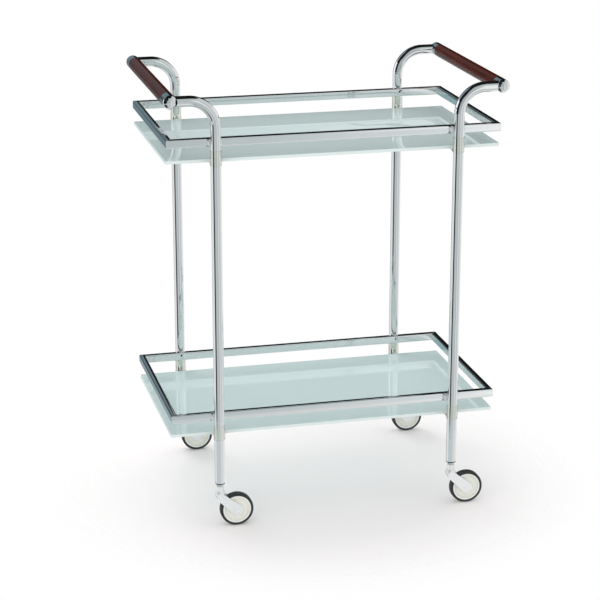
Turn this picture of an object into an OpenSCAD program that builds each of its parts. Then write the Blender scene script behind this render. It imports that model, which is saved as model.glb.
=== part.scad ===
// Bar cart on wheels: two glass shelves in a frame of chromed tube, with a wooden
// push grip at each end and four swivel casters.
// Millimetres. +X runs along the cart to its right end, +Y to its back, +Z up.
// The origin lies on the floor below the middle of the cart.

/* [Legs] */
// Height of the cart, from the floor to the top of the grips
cart_height = 850; // [780:5:950]
// Distance between the left and right leg axes
leg_spacing = 466; // [400:1:540]
// Distance between the front and rear leg axes
leg_gauge = 405; // [340:1:500]
// Outer diameter of the leg tube
leg_d = 20; // [18:0.5:24]
// Wall of the leg tube
leg_wall = 1.2; // [1:0.1:2]
// Radius of the bend at the top of a leg, to the tube's axis
bend_r = 50; // [35:1:58]

/* [Handles] */
// Distance from a leg's axis out to the axis of the grip
grip_reach = 84; // [76:0.5:110]
// Length of a ferrule
ferrule_length = 36; // [26:1:60]
// How far a ferrule's surface stands out past the leg tube
ferrule_margin = 3; // [0.5:0.1:3.5]
// How far a ferrule's end face stands out past the leg tube
ferrule_overhang = 2.5; // [0:0.1:3]
// Wall of a ferrule
ferrule_wall = 1.5; // [1:0.1:2]
// Thickness of a ferrule's closed end
ferrule_end = 2.5; // [1.5:0.1:4]
// Rounding of a ferrule's outer rim
ferrule_rim_r = 2; // [0.5:0.1:2.4]
// Length of the tenon that a grip has inside each ferrule
tenon_length = 20; // [8:1:24]

/* [Galleries] */
// Length of a gallery over its outer faces
rail_length = 645; // [560:1:720]
// Height of the gallery tube
rail_height = 17; // [14:0.5:20]
// Width of the gallery tube
rail_width = 12; // [9:0.5:16]
// Wall of the gallery tube
rail_wall = 1.2; // [0.8:0.1:2]
// Rounding of the gallery tube's edges
rail_edge_r = 3; // [0.4:0.1:4]
// Gap between a gallery and the legs, filled by the saddles of the spacers
rail_leg_gap = 5; // [2:0.5:8]
// Distance from the top of the cart down to the top of the upper gallery
upper_rail_drop = 87; // [82:1:160]
// Height of the top of the lower gallery
lower_rail_top = 227; // [200:1:330]

/* [Shelves] */
// Thickness of the glass
glass_thickness = 6; // [4:0.5:8]
// Distance from the top of a gallery down to the top of its glass
glass_drop = 41; // [38:1:70]
// How far the long edges of the glass lie inside the gallery's outer faces
glass_side_inset = 8.5; // [2:0.5:12]
// How far the short edges of the glass lie inside the gallery's outer faces
glass_end_inset = 0; // [0:0.5:20]
// Corner radius of the glass
glass_corner_r = 3; // [1:0.5:20]

/* [Shelf collars] */
// Wall of the clear collar round a leg
collar_wall = 1.2; // [1:0.1:3]
// Height of the collar above the top of the glass
collar_rise = 22; // [10:1:25]
// Thickness of the ledge under the glass
ledge_thickness = 1.8; // [1.2:0.1:4]
// Width of the ledge
ledge_width = 16; // [10:0.5:20]
// How far the ledge reaches under the glass
ledge_reach = 12; // [8:0.5:20]
// Width of the stop beside the edge of the glass
stop_width = 8; // [4:0.5:10]
// Play between the edge of the glass and its stops
glass_play = 0.3; // [0.1:0.1:1]
// Diameter of the pin that carries the ledge
pin_d = 6; // [4:0.5:8]
// Length of a pin inside its leg
pin_hold = 8; // [5:0.5:14]

/* [Rail fixings] */
// Width of a spacer's saddle, which cradles the leg
saddle_width = 26; // [24:0.5:32]
// Height of the saddle
saddle_height = 9; // [8:0.5:11]
// Rounding of the saddle's corners
saddle_r = 3; // [1:0.25:4]
// How far the saddle's horns reach round the leg
saddle_wrap = 4; // [1:0.5:5]
// Diameter of a rail screw's shank
screw_d = 5; // [4:0.5:6]
// Diameter of a rail screw's head
screw_head_d = 11; // [8:0.5:12]
// Height of a rail screw's head
screw_head_h = 3; // [1.5:0.1:4]
// Diameter of the rivet nut in a leg
rivet_nut_d = 7.2; // [6.8:0.1:8]
// Length of the rivet nut
rivet_nut_length = 9; // [6:0.5:14]

/* [Wheels] */
// Diameter of a wheel
wheel_d = 65; // [56:1:75]
// Width of the tyre
tyre_width = 15; // [12:0.5:20]
// Height of the tyre's section
tyre_height = 5; // [4:0.25:7]
// Rounding of the tyre's shoulders
shoulder_r = 2.2; // [1:0.1:3]
// Width of a groove in the tread
groove_width = 1.2; // [0.5:0.1:2]
// Depth of a groove in the tread
groove_depth = 0.8; // [0.3:0.1:1.5]
// Distance from the middle of the tread to each groove
groove_offset = 3.2; // [2:0.1:4]
// Width of the rib that keys the tyre to its hub
key_width = 4; // [2:0.5:8]
// Depth of that rib
key_depth = 1.5; // [0.5:0.1:2.5]
// Diameter of the hub's boss
boss_d = 17; // [13:0.5:22]
// How far the hub's boss stands out past the tyre on each side
boss_margin = 0.5; // [0:0.1:0.6]
// Half width of the hub's rim
rim_half = 6.8; // [5:0.1:7.2]
// Half width of the hub's web, where it meets the rim
web_half = 5; // [3:0.1:6]
// Width of the raised ring on the hub
ring_width = 1.6; // [1:0.1:2.5]
// Width of the channel between the raised ring and the rim
channel_width = 1.2; // [0.6:0.1:2]
// Width of the hub's rim
rim_width = 3; // [2.4:0.1:4]

/* [Casters] */
// Distance from the swivel axis back to the axle
trail = 31.6; // [26:0.2:34]
// Diameter of the axle
axle_d = 8; // [6:0.5:9]
// Diameter of the axle's heads
axle_head_d = 11; // [10:0.5:13]
// Height of the axle's heads
axle_head_h = 0.5; // [0.3:0.1:1.5]
// Thickness of a fork arm
arm_thickness = 2.5; // [2:0.1:4]
// Radius of a fork arm's end round the axle
arm_end_r = 11; // [8:0.5:13]
// Radius of the yoke that joins the arms
yoke_r = 8; // [7.5:0.25:9]
// How far the yoke's centre lies below the top of the wheel
yoke_drop = 4.5; // [3:0.25:6]
// Gap between the tyre and each fork arm
arm_gap = 1; // [0.7:0.1:2]
// Gap between the tread and the fork
tread_gap = 1.5; // [1:0.1:3]
// Diameter of the bowl above the yoke
bowl_d = 20; // [17:0.5:23]
// Height of the bowl's rim above the wheel
bowl_rise = 3; // [1:0.25:6]
// Height of the slope from the bowl's rim up to the neck
bowl_slope = 3; // [1:0.5:5]
// Diameter of the fork's neck
neck_d = 14; // [12.4:0.2:16]
// Height of the neck above the wheel
neck_rise = 16; // [12:0.5:22]
// Wall of the swivel bush
bush_wall = 1.15; // [0.8:0.05:1.3]
// Thickness of the swivel bush's flange
bush_flange = 1; // [0.6:0.1:1.5]
// Diameter of the caster's stem
stem_d = 8; // [7:0.1:8.4]
// Diameter of the head on the lower end of the stem
stem_head_d = 11; // [10.6:0.1:12]
// Height of that head
stem_head_h = 2; // [1.5:0.1:3]
// Radial clearance of the pieces that turn on each other
running_fit = 0.05; // [0.02:0.01:0.1]
// Gap between the faces of pieces that turn against each other
face_gap = 0.3; // [0.2:0.05:0.5]
// Width across the corners of the nut on the stem
nut_d = 12; // [11:0.5:15]
// Height of the nut
nut_h = 3; // [2:0.25:5]
// Bare stem between the nut and the plug in the leg
stem_bare = 2; // [1:0.25:6]
// Thickness of the plug's flange below the leg
plug_flange = 2; // [0.8:0.1:3]
// How far the plug's flange lies inside the leg tube's outer face
plug_flange_inset = 0.3; // [0.2:0.1:1]
// Length of the plug inside the leg
plug_length = 24; // [15:1:40]
// Length of the stem inside the plug
stem_hold = 18; // [10:1:22]

/* [Hidden] */
$fn = 72;
CORNERS = [
    ["front_left", -1, -1],
    ["front_right", 1, -1],
    ["rear_left", -1, 1],
    ["rear_right", 1, 1]
];
SHELVES = ["upper", "lower"];
SIDES = ["front", "rear", "left", "right"];

CHROME = "silver";
WOOD = "saddlebrown";
GLASS = [0.72, 0.83, 0.80, 0.8];
CLEAR = [0.80, 0.83, 0.80, 0.5];
HUB = "ivory";
TYRE = [0.13, 0.14, 0.14];
STEEL = "dimgray";

// a cut runs this far past the faces that it opens
past = 1;
// the straight sides of a strap lie this far inside the tangents of its round ends
tangent_sink = 0.02;

leg_x = leg_spacing / 2;
leg_y = leg_gauge / 2;
leg_r = leg_d / 2;
ferrule_r = leg_r + ferrule_margin;
ferrule_bore_r = ferrule_r - ferrule_wall;
grip_x = leg_x + grip_reach;
grip_z = cart_height - ferrule_r;
cart_half_depth = leg_y + leg_r + ferrule_overhang;
grip_half_length = cart_half_depth - ferrule_length;

rail_face_y = leg_y - leg_r - rail_leg_gap;
glass_length = rail_length - 2 * glass_end_inset;
glass_depth = 2 * (rail_face_y - glass_side_inset);
glass_edge_y = glass_depth / 2;
collar_r = leg_r + collar_wall;
pin_r = pin_d / 2;

wheel_r = wheel_d / 2;
tyre_bore_r = wheel_r - tyre_height;
boss_half = tyre_width / 2 + boss_margin;
fork_gap = tyre_width + 2 * arm_gap;
fork_width = fork_gap + 2 * arm_thickness;
stem_r = stem_d / 2;
bush_r = stem_r + running_fit + bush_wall;
yoke_z = wheel_d - yoke_drop;
bowl_z = wheel_d + bowl_rise;
neck_top = wheel_d + neck_rise;
stem_head_r = stem_head_d / 2;
head_pocket_r = stem_head_r + 2 * face_gap;
head_pocket_top = yoke_z + 1.5;
nut_bottom = neck_top + bush_flange + face_gap;
plug_bottom = nut_bottom + nut_h + stem_bare;
leg_bottom = plug_bottom + plug_flange;
leg_bore_r = leg_r - leg_wall;
rail_bore_edge_r = max(rail_edge_r - rail_wall, 0.2);

function rail_top(shelf) = shelf == "upper" ? cart_height - upper_rail_drop : lower_rail_top;
function rail_middle(shelf) = rail_top(shelf) - rail_height / 2;
function glass_top(shelf) = rail_top(shelf) - glass_drop;
function glass_bottom(shelf) = glass_top(shelf) - glass_thickness;
function ledge_bottom(shelf) = glass_bottom(shelf) - ledge_thickness;
function pin_z(shelf) = ledge_bottom(shelf) - pin_r;

// puts a piece made for the rear right leg, whose axis is at x = y = 0, at the named corner
module at_corner(c) {
    mirror([c[1] < 0 ? 1 : 0, 0, 0])
        mirror([0, c[2] < 0 ? 1 : 0, 0])
            translate([leg_x, leg_y, 0])
                children();
}

// puts a caster's piece at the named corner, always trailing towards +X
module at_caster(c) {
    translate([c[1] * leg_x, c[2] * leg_y, 0])
        children();
}

// turns a piece made along +Z so that it runs along -Y, towards the middle of the cart
module inward() {
    rotate([90, 0, 0])
        children();
}

// ---- legs ----

module leg_path(r) {
    bend_start = grip_z - bend_r;
    translate([0, 0, leg_bottom])
        cylinder(r = r, h = bend_start - leg_bottom);
    translate([bend_r, 0, bend_start])
        rotate([90, 0, 0])
            rotate([0, 0, 90])
                rotate_extrude(angle = 90)
                    translate([bend_r, 0])
                        circle(r);
    translate([bend_r, 0, grip_z])
        rotate([0, 90, 0])
            cylinder(r = r, h = grip_reach - bend_r);
}

module leg(c) {
    color(CHROME)
        at_corner(c)
            difference() {
                leg_path(leg_r);
                leg_path(leg_bore_r);
                translate([0, 0, leg_bottom - past])
                    cylinder(r = leg_bore_r, h = 2 * past);
                translate([grip_reach, 0, grip_z])
                    rotate([90, 0, 0])
                        cylinder(r = ferrule_r, h = 4 * leg_d, center = true);
                for (shelf = SHELVES) {
                    translate([0, 0, rail_middle(shelf)])
                        inward()
                            cylinder(d = rivet_nut_d, h = leg_d);
                    translate([0, 0, pin_z(shelf)])
                        inward()
                            cylinder(r = pin_r, h = leg_d);
                }
            }
}

// ---- handles ----

// half section of a ferrule: closed end up, open end at y = 0
module ferrule_section() {
    difference() {
        union() {
            square([ferrule_r, ferrule_length - ferrule_rim_r]);
            square([ferrule_r - ferrule_rim_r, ferrule_length]);
            translate([ferrule_r - ferrule_rim_r, ferrule_length - ferrule_rim_r])
                intersection() {
                    circle(ferrule_rim_r);
                    square(ferrule_rim_r);
                }
        }
        translate([0, -past])
            square([ferrule_bore_r, ferrule_length - ferrule_end + past]);
    }
}

module ferrule(c) {
    color(CHROME)
        at_corner(c)
            translate([grip_reach, grip_half_length - leg_y, grip_z])
                rotate([-90, 0, 0])
                    rotate_extrude()
                        ferrule_section();
}

module grip(side) {
    color(WOOD)
        translate([side * grip_x, 0, grip_z])
            rotate([90, 0, 0]) {
                cylinder(r = ferrule_r, h = 2 * grip_half_length, center = true);
                cylinder(r = ferrule_bore_r, h = 2 * (grip_half_length + tenon_length), center = true);
            }
}

// ---- galleries ----

module rounded_rectangle(length, width, r) {
    square([length - 2 * r, width], center = true);
    square([length, width - 2 * r], center = true);
    for (x = [-1, 1])
        for (y = [-1, 1])
            translate([x * (length / 2 - r), y * (width / 2 - r)])
                circle(r);
}

// section of the gallery tube: its outer face lies on x = 0 and its top on y = 0
module rail_section() {
    translate([-rail_width / 2, -rail_height / 2])
        difference() {
            rounded_rectangle(rail_width, rail_height, rail_edge_r);
            rounded_rectangle(rail_width - 2 * rail_wall, rail_height - 2 * rail_wall, rail_bore_edge_r);
        }
}

// a gallery tube along X with its outer face on y = 0 and its top on z = 0, mitred at both ends
module rail_tube(length) {
    intersection() {
        rotate([90, 0, 90])
            linear_extrude(length, center = true)
                rail_section();
        translate([0, 0, -rail_height - past])
            linear_extrude(rail_height + 2 * past)
                polygon([
                    [-length / 2, 0],
                    [length / 2, 0],
                    [length / 2 - rail_width, -rail_width],
                    [rail_width - length / 2, -rail_width]
                ]);
    }
}

module long_rail(shelf, side) {
    color(CHROME)
        mirror([0, side < 0 ? 1 : 0, 0])
            difference() {
                translate([0, rail_face_y, rail_top(shelf)])
                    rail_tube(rail_length);
                for (x = [-leg_x, leg_x])
                    translate([x, rail_face_y + past, rail_middle(shelf)])
                        inward()
                            cylinder(d = screw_d, h = rail_width + 2 * past);
            }
}

module short_rail(shelf, side) {
    color(CHROME)
        mirror([side < 0 ? 1 : 0, 0, 0])
            translate([rail_length / 2, 0, rail_top(shelf)])
                rotate([0, 0, -90])
                    rail_tube(2 * rail_face_y);
}

// ---- rail fixings ----

module leg_blank() {
    translate([0, 0, leg_bottom])
        cylinder(r = leg_r, h = grip_z - bend_r - leg_bottom);
}

module rail_spacers() {
    color(CHROME)
        for (c = CORNERS)
            at_corner(c)
                for (shelf = SHELVES)
                    difference() {
                        translate([0, saddle_wrap - leg_r, rail_middle(shelf)])
                            inward()
                                linear_extrude(saddle_wrap + rail_leg_gap)
                                    rounded_rectangle(saddle_width, saddle_height, saddle_r);
                        translate([0, 0, rail_middle(shelf)])
                            inward()
                                cylinder(d = screw_d, h = leg_d + rail_leg_gap);
                        leg_blank();
                    }
}

module rivet_nuts() {
    color(STEEL)
        for (c = CORNERS)
            at_corner(c)
                for (shelf = SHELVES)
                    difference() {
                        intersection() {
                            translate([0, rivet_nut_length - leg_r, rail_middle(shelf)])
                                inward()
                                    cylinder(d = rivet_nut_d, h = rivet_nut_length + past);
                            leg_blank();
                        }
                        translate([0, 0, rail_middle(shelf)])
                            inward()
                                cylinder(d = screw_d, h = leg_d);
                    }
}

// a rail screw along +Z: the underside of its head lies on z = 0 and its shank goes down
module rail_screw(shank) {
    head_sphere_r = (pow(screw_head_d / 2, 2) + pow(screw_head_h, 2)) / (2 * screw_head_h);
    translate([0, 0, -shank])
        cylinder(d = screw_d, h = shank);
    intersection() {
        cylinder(d = screw_head_d, h = screw_head_h);
        translate([0, 0, screw_head_h - head_sphere_r])
            sphere(head_sphere_r);
    }
}

module rail_screws() {
    shank = rail_width + rail_leg_gap + rivet_nut_length;
    color(CHROME)
        for (c = CORNERS)
            at_corner(c)
                for (shelf = SHELVES)
                    translate([0, rail_face_y - leg_y - rail_width, rail_middle(shelf)])
                        inward()
                            rail_screw(shank);
}

// ---- shelves ----

module glass_shelf(shelf) {
    color(GLASS)
        translate([0, 0, glass_bottom(shelf)])
            linear_extrude(glass_thickness)
                rounded_rectangle(glass_length, glass_depth, glass_corner_r);
}

module shelf_collar(shelf, c) {
    ledge_end = glass_edge_y - ledge_reach - leg_y;
    stop_end = glass_edge_y + glass_play - leg_y;
    color(CLEAR)
        at_corner(c)
            difference() {
                union() {
                    translate([0, 0, ledge_bottom(shelf)])
                        cylinder(r = collar_r, h = glass_top(shelf) + collar_rise - ledge_bottom(shelf));
                    translate([-ledge_width / 2, ledge_end, ledge_bottom(shelf)])
                        cube([ledge_width, -ledge_end, ledge_thickness]);
                    translate([-stop_width / 2, stop_end, ledge_bottom(shelf)])
                        cube([stop_width, -stop_end, glass_top(shelf) - ledge_bottom(shelf)]);
                }
                leg_blank();
            }
}

module shelf_pins() {
    pin_end = glass_edge_y - ledge_reach + pin_r - leg_y;
    color(STEEL)
        for (c = CORNERS)
            at_corner(c)
                for (shelf = SHELVES) {
                    translate([0, pin_hold - leg_r, pin_z(shelf)])
                        inward()
                            cylinder(r = pin_r, h = pin_hold - leg_r - pin_end);
                    translate([0, pin_end, pin_z(shelf)])
                        sphere(pin_r);
                }
}

// ---- casters ----

module leg_plugs() {
    color(STEEL)
        for (c = CORNERS)
            at_caster(c)
                translate([0, 0, plug_bottom])
                    difference() {
                        union() {
                            cylinder(r = leg_r - plug_flange_inset, h = plug_flange);
                            cylinder(r = leg_bore_r, h = plug_flange + plug_length);
                        }
                        translate([0, 0, -past])
                            cylinder(r = stem_r, h = stem_hold + past);
                    }
}

module stem_nuts() {
    color(CHROME)
        for (c = CORNERS)
            at_caster(c)
                translate([0, 0, nut_bottom])
                    difference() {
                        cylinder(d = nut_d, h = nut_h, $fn = 6);
                        translate([0, 0, -past])
                            cylinder(r = stem_r, h = nut_h + 2 * past);
                    }
}

module caster_stem(c) {
    head_top = head_pocket_top - face_gap;
    color(STEEL)
        at_caster(c) {
            translate([0, 0, head_top - stem_head_h])
                cylinder(r = stem_head_r, h = stem_head_h);
            translate([0, 0, head_top])
                cylinder(r = stem_r, h = plug_bottom + stem_hold - head_top);
        }
}

module swivel_bush(c) {
    color("white")
        at_caster(c)
            difference() {
                union() {
                    translate([0, 0, head_pocket_top])
                        cylinder(r = bush_r, h = neck_top - head_pocket_top);
                    translate([0, 0, neck_top])
                        cylinder(d = neck_d, h = bush_flange);
                }
                translate([0, 0, head_pocket_top - past])
                    cylinder(r = stem_r + running_fit, h = neck_top - head_pocket_top + bush_flange + 2 * past);
            }
}

// outline of a strap that tapers from a circle at p to a circle at q: its straight sides
// lie a hair inside the common tangents, so that they cut both circles cleanly
module strap_outline(p, p_r, q, q_r) {
    along = atan2(q[1] - p[1], q[0] - p[0]);
    lean = acos((p_r - q_r) / norm(q - p));
    touch = function(centre, r, angle) centre + (r - tangent_sink) * [cos(angle), sin(angle)];
    translate(p)
        circle(p_r);
    translate(q)
        circle(q_r);
    polygon([
        touch(p, p_r, along + lean),
        touch(q, q_r, along + lean),
        touch(q, q_r, along - lean),
        touch(p, p_r, along - lean)
    ]);
}

// bowl and neck that turn on the stem
module fork_neck() {
    bowl_r = bowl_d / 2;
    rotate_extrude()
        translate([0, bowl_z])
            intersection() {
                translate([0, -bowl_r])
                    square([bowl_r, bowl_r]);
                circle(bowl_r);
            }
    translate([0, 0, bowl_z])
        cylinder(r1 = bowl_r, r2 = neck_d / 2, h = bowl_slope);
    translate([0, 0, bowl_z])
        cylinder(d = neck_d, h = neck_top - bowl_z);
}

module caster_fork(c) {
    color(CHROME)
        at_caster(c)
            difference() {
                union() {
                    rotate([90, 0, 0])
                        linear_extrude(fork_width, center = true)
                            strap_outline([0, yoke_z], yoke_r, [trail, wheel_r], arm_end_r);
                    fork_neck();
                }
                translate([trail, 0, wheel_r])
                    rotate([90, 0, 0]) {
                        cylinder(r = wheel_r + tread_gap, h = fork_gap, center = true);
                        cylinder(d = axle_d, h = fork_width + 2 * past, center = true);
                    }
                translate([0, 0, head_pocket_top])
                    cylinder(r = bush_r, h = neck_top - head_pocket_top + past);
                translate([0, 0, wheel_r])
                    cylinder(r = head_pocket_r, h = head_pocket_top - wheel_r);
            }
}

// puts a wheel's piece, turned about the Z axis, on the axle of the named caster
module on_axle(c) {
    at_caster(c)
        translate([trail, 0, wheel_r])
            rotate([90, 0, 0])
                children();
}

module wheel_axle(c) {
    color(STEEL)
        on_axle(c) {
            cylinder(d = axle_d, h = fork_width, center = true);
            for (side = [-1, 1])
                translate([0, 0, side * (fork_width + axle_head_h) / 2])
                    cylinder(d = axle_head_d, h = axle_head_h, center = true);
        }
}

// half section of the hub: boss, dished web, raised ring, channel and rim
module hub_section() {
    rim_r = tyre_bore_r - rim_width;
    ring_outer = rim_r - channel_width;
    ring_inner = ring_outer - ring_width;
    boss_r = boss_d / 2;
    bore_r = axle_d / 2 + running_fit;
    upper = [
        [bore_r, boss_half],
        [boss_r, boss_half],
        [boss_r, web_half + 1],
        [ring_inner, web_half],
        [ring_inner, rim_half],
        [ring_outer, rim_half],
        [ring_outer, web_half],
        [rim_r, web_half],
        [rim_r, rim_half],
        [tyre_bore_r, rim_half]
    ];
    lower = [for (i = [len(upper) - 1 : -1 : 0]) [upper[i][0], -upper[i][1]]];
    difference() {
        polygon(concat(upper, lower));
        translate([tyre_bore_r - key_depth, -key_width / 2])
            square([key_depth + past, key_width]);
    }
}

module wheel_hub(c) {
    color(HUB)
        on_axle(c)
            rotate_extrude()
                hub_section();
}

// half section of the tyre, with its key in the hub and two grooves in its tread
module tyre_section() {
    difference() {
        union() {
            translate([tyre_bore_r, -tyre_width / 2])
                square([tyre_height - shoulder_r, tyre_width]);
            translate([tyre_bore_r, shoulder_r - tyre_width / 2])
                square([tyre_height, tyre_width - 2 * shoulder_r]);
            for (side = [-1, 1])
                translate([wheel_r - shoulder_r, side * (tyre_width / 2 - shoulder_r)])
                    circle(shoulder_r);
            translate([tyre_bore_r - key_depth, -key_width / 2])
                square([key_depth + past, key_width]);
        }
        for (side = [-1, 1])
            translate([wheel_r - groove_depth, side * groove_offset - groove_width / 2])
                square([groove_depth + past, groove_width]);
    }
}

module wheel_tyre(c) {
    color(TYRE)
        on_axle(c)
            rotate_extrude()
                tyre_section();
}

for (c = CORNERS) {
    leg(c);
    ferrule(c);
    caster_stem(c);
    swivel_bush(c);
    caster_fork(c);
    wheel_axle(c);
    wheel_hub(c);
    wheel_tyre(c);
}
for (shelf = SHELVES) {
    long_rail(shelf, -1);
    long_rail(shelf, 1);
    short_rail(shelf, -1);
    short_rail(shelf, 1);
    glass_shelf(shelf);
    for (c = CORNERS)
        shelf_collar(shelf, c);
}
grip(-1);  // handle_grip_left
grip(1);  // handle_grip_right
shelf_pins();
rail_spacers();
rail_screws();
rivet_nuts();
leg_plugs();
stem_nuts();
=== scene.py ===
"""Bar cart on wheels: the finishes and the fine shapes of its pieces, and the studio around it.

Every piece is made in metres, in the frame's own axes: +X runs along the cart to its right
end, +Y to its back and +Z up, with the origin on the floor below the middle of the cart.
"""

import functools
import math

import bmesh
import bpy
from bpy.props import FloatProperty, FloatVectorProperty, PointerProperty
from mathutils import Matrix, Vector


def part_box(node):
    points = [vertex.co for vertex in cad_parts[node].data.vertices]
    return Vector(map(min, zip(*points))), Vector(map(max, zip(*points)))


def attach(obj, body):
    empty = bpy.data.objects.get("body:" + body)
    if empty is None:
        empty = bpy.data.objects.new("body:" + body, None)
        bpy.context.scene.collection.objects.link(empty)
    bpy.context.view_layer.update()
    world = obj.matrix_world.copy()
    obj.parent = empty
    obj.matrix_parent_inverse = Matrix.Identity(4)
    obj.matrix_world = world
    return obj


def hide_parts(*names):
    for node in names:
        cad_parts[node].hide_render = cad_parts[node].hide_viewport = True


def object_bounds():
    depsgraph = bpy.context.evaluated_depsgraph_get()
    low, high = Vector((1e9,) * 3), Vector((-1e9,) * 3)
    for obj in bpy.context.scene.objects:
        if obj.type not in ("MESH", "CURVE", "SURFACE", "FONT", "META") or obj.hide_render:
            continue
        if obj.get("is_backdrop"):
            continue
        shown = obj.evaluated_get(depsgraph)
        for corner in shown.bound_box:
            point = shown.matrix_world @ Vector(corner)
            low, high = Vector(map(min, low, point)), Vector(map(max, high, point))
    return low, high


bl_info = {
    "name": "Bar Cart",
    "version": (1, 0, 0),
    "blender": (4, 5, 0),
    "location": "View3D > Sidebar > Bar Cart",
    "description": "Dresses the frame of a bar cart with chrome, glass, wood and casters",
    "category": "Add Mesh",
}

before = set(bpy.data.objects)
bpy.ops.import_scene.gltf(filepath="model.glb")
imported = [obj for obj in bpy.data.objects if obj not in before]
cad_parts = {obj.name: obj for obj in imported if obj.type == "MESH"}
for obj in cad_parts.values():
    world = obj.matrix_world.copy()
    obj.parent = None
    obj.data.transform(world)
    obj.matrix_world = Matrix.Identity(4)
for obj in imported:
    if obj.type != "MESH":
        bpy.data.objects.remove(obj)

MM = 0.001
CORNERS = ("front_left", "front_right", "rear_left", "rear_right")
SHELVES = ("upper", "lower")
# the sides of a gallery, with their quarter turns from the front
SIDES = {"front": 0, "rear": 2, "left": 3, "right": 1}
# points round a turned piece, and round a small one
ROUND = 96
SMALL_ROUND = 48
# largest turn between two points of a rounded corner
ARC_STEP = math.radians(12)
# parts of a bulging side
CROWN_STEPS = 8
# faces that meet at more than this keep a crisp edge
CRISP = math.radians(38)
# a piece that another one encloses stays this far off its surface
HAIR = 0.03 * MM
# points of a cut solid that are closer than this are one
WELD = 0.002 * MM
# the range that nearly all of a noise pattern lies in
NOISE_SPAN = (0.3, 0.7)
# width that the camera's focal length is given for, in millimetres
FILM_WIDTH = 36


def linear(code):
    """Linear colour of an sRGB hex code such as #A0B1C2."""
    channels = [int(code[i : i + 2], 16) / 255 for i in (1, 3, 5)]
    return [c / 12.92 if c <= 0.04045 else ((c + 0.055) / 1.055) ** 2.4 for c in channels]


def mm(*lengths):
    """Metres, of lengths in millimetres."""
    return [value * MM for value in lengths]


# ---- what a user can change ----


def length(name, description, millimetres):
    """A length that shows in the scene's own units."""
    return FloatProperty(name=name, description=description, default=millimetres * MM,
                         min=0, unit="LENGTH", precision=4)


def colour(name, description, code):
    """A colour, given by its sRGB hex code."""
    return FloatVectorProperty(name=name, description=description, default=linear(code),
                               min=0, max=1, subtype="COLOR")


class CartSizes(bpy.types.PropertyGroup):
    """Sizes of fine shapes, which the frame's boxes don't give."""

    bend_radius: length("Bend", "Radius of a leg's bend, to the tube's axis", 50)
    tube_wall: length("Tube wall", "Wall of the leg tube", 1.2)
    rail_edge: length("Rail edge", "Rounding of the gallery tube's edges", 3)
    rail_wall: length("Rail wall", "Wall of the gallery tube", 1.2)
    rail_crown: length("Rail crown", "How far the sides of the drawn gallery tube bulge", 0.1)
    seam: length("Seam", "Bevel on both sides of a mitre", 0.25)
    glass_corner: length("Glass corner", "Corner radius of a glass shelf", 3)
    glass_arris: length("Glass arris", "Polished arris of a glass shelf", 0.7)
    ferrule_rim: length("Ferrule rim", "Rounding of a ferrule's closed end", 4)
    ferrule_crown: length("Ferrule crown", "How far a ferrule's closed end bulges", 3.5)
    collar_lip: length("Collar lip", "Rounding of a collar's upper lip", 0.5)
    tyre_height: length("Tyre height", "Height of a tyre's section", 5)
    tyre_shoulder: length("Tyre shoulder", "Rounding of a tyre's shoulders", 2.2)
    fork_bevel: length("Fork bevel", "Rounding of a fork's edges", 0.5)


class CartColours(bpy.types.PropertyGroup):
    """Colours of the finishes."""

    chrome: colour("Chrome", "Chromium plate", "#E5E6E6")
    fork: colour("Fork", "Bright zinc plate of forks, axles and saddles", "#F1F2F3")
    wood: colour("Wood", "Stained wood of the grips", "#561C08")
    pores: colour("Pores", "Stain in the pores of the wood", "#2B0C07")
    glass: colour("Glass", "Face of the etched glass", "#E0F2F1")
    glass_edge: colour("Glass edge", "Polished edge of the glass", "#E4F0EE")
    collar: colour("Collar", "Clear plastic of the shelf collars", "#FEFEFC")
    collar_rim: colour("Collar rim", "The same plastic seen through its thickness", "#EEEBE4")
    zinc: colour("Zinc", "Zinc plate of stems, pins and inserts", "#A9ABAD")
    plug: colour("Plug", "Plastic of the leg plugs", "#1A1B1C")
    bush: colour("Bush", "Plastic of the swivel bushes", "#E4E4DC")
    hub: colour("Hub", "Plastic of the wheel hubs", "#ECEDE3")
    # rim: the hub's own plastic painted whiter, a painted highlight on the rim that stands
    # against the shade of the recessed web
    rim: colour("Rim", "Plastic of the hubs' rims", "#F6F7F5")
    tyre: colour("Tyre", "Rubber of the tyres", "#202322")
    dust: colour("Dust", "Dust on the tyres", "#898986")
    floor: colour("Floor", "Floor of the studio", "#F6F2F2")


class CartView(bpy.types.PropertyGroup):
    """Where the camera stands."""

    place: FloatVectorProperty(name="Place", description="Where the camera stands",
                               default=(-0.921, -3.625, 1.548), subtype="XYZ", unit="LENGTH")
    yaw: FloatProperty(name="Yaw", description="Turn of the camera from +Y towards +X",
                       default=math.radians(13.89), subtype="ANGLE")
    pitch: FloatProperty(name="Pitch", description="Tilt of the camera below the horizon",
                         default=math.radians(17.37), subtype="ANGLE")
    lens: FloatProperty(name="Lens", description="Focal length in millimetres",
                        default=117.3, min=10, subtype="DISTANCE_CAMERA")


# ---- outlines, skins and solids ----


def rounded(*corners):
    """Outline through corners (x, y, radius), each rounded by its radius, as (x, y) points."""
    points = []
    for i, (x, y, radius) in enumerate(corners):
        here = Vector((x, y))
        if radius == 0:
            points.append((x, y))
            continue
        back = (Vector(corners[i - 1][:2]) - here).normalized()
        ahead = (Vector(corners[(i + 1) % len(corners)][:2]) - here).normalized()
        half = back.angle(ahead) / 2
        centre = here + (back + ahead).normalized() * radius / math.sin(half)
        start = here + back * radius / math.tan(half) - centre
        turn = math.pi - 2 * half
        steps = max(2, math.ceil(turn / ARC_STEP))
        side = 1 if back.x * ahead.y - back.y * ahead.x < 0 else -1
        for step in range(steps + 1):
            spun = Matrix.Rotation(side * turn * step / steps, 2) @ start
            points.append(tuple(centre + spun))
    return points


def oblong(left, right, low, high, radius):
    """Outline of a rectangle with rounded corners."""
    return rounded((left, low, radius), (right, low, radius),
                   (right, high, radius), (left, high, radius))


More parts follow.
